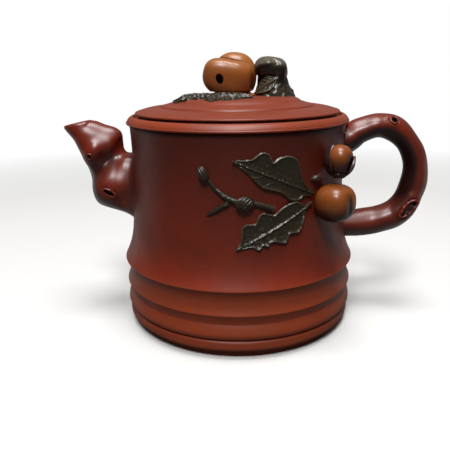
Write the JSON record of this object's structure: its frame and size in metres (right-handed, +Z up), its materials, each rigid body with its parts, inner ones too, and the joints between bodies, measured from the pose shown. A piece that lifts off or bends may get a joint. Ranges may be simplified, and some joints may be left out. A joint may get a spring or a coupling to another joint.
{
  "type": "clay teapot",
  "caption": "Lidded red clay teapot, waisted with ribs round its base, branch spout and handle, applied leaves, twig and nuts, and a lift-off lid with a nut knob.",
  "frame": {"origin": "centre of the flat foot, on the axis that the body and the lid are turned about", "axes": "+Z up along the turning axis, +X towards the handle, -X towards the spout, -Y towards the side with the applied leaves"},
  "size_m": [0.1633, 0.105, 0.1183],
  "materials": {
    "red_clay": "fine red stoneware, unglazed, burnished to a low sheen",
    "dark_clay": "dark olive stoneware, unglazed, burnished",
    "ochre_clay": "ochre stoneware, unglazed, burnished to a soft gloss",
    "purple_clay": "purple-brown stoneware, unglazed, burnished"
  },
  "bodies": {
    "pot": {"base_disc": "red_clay", "body_wall": "red_clay", "mouth_ring": "red_clay", "spout": "red_clay", "spout_knot_upper": "red_clay", "spout_knot_lower": "red_clay", "strainer": "red_clay", "handle": "red_clay", "handle_knot_top": "red_clay", "handle_knot_low": "red_clay", "leaf_upper": "dark_clay", "leaf_lower": "dark_clay", "twig_stem": "dark_clay", "twig_branch": "dark_clay", "twig_shoot": "dark_clay", "bud_middle": "dark_clay", "bud_tip": "dark_clay", "nut_lower": "ochre_clay", "nut_upper": "ochre_clay", "husk_left": "purple_clay", "husk_right": "purple_clay", "husk_front": "purple_clay", "husk_stalk": "purple_clay"},
    "lid_seat": {"lid_flange": "red_clay"},
    "lid": {"lid_plate": "red_clay", "lid_nut": "ochre_clay", "lid_nut_pad": "ochre_clay", "mushroom_stem": "dark_clay", "mushroom_cap": "dark_clay", "mushroom_leaf": "dark_clay", "lid_leaf_left": "dark_clay", "lid_leaf_front": "dark_clay"}
  },
  "joints": [
    {"name": "lid_lift", "type": "slide", "parent": "pot", "child": "lid_seat", "axis": [0, 0, 1], "range_m": [0, 0.06]},
    {"name": "lid_turn", "type": "hinge", "parent": "lid_seat", "child": "lid", "pos_m": [0, 0, 0.0913], "axis": [0, 0, 1], "continuous": true}
  ]
}
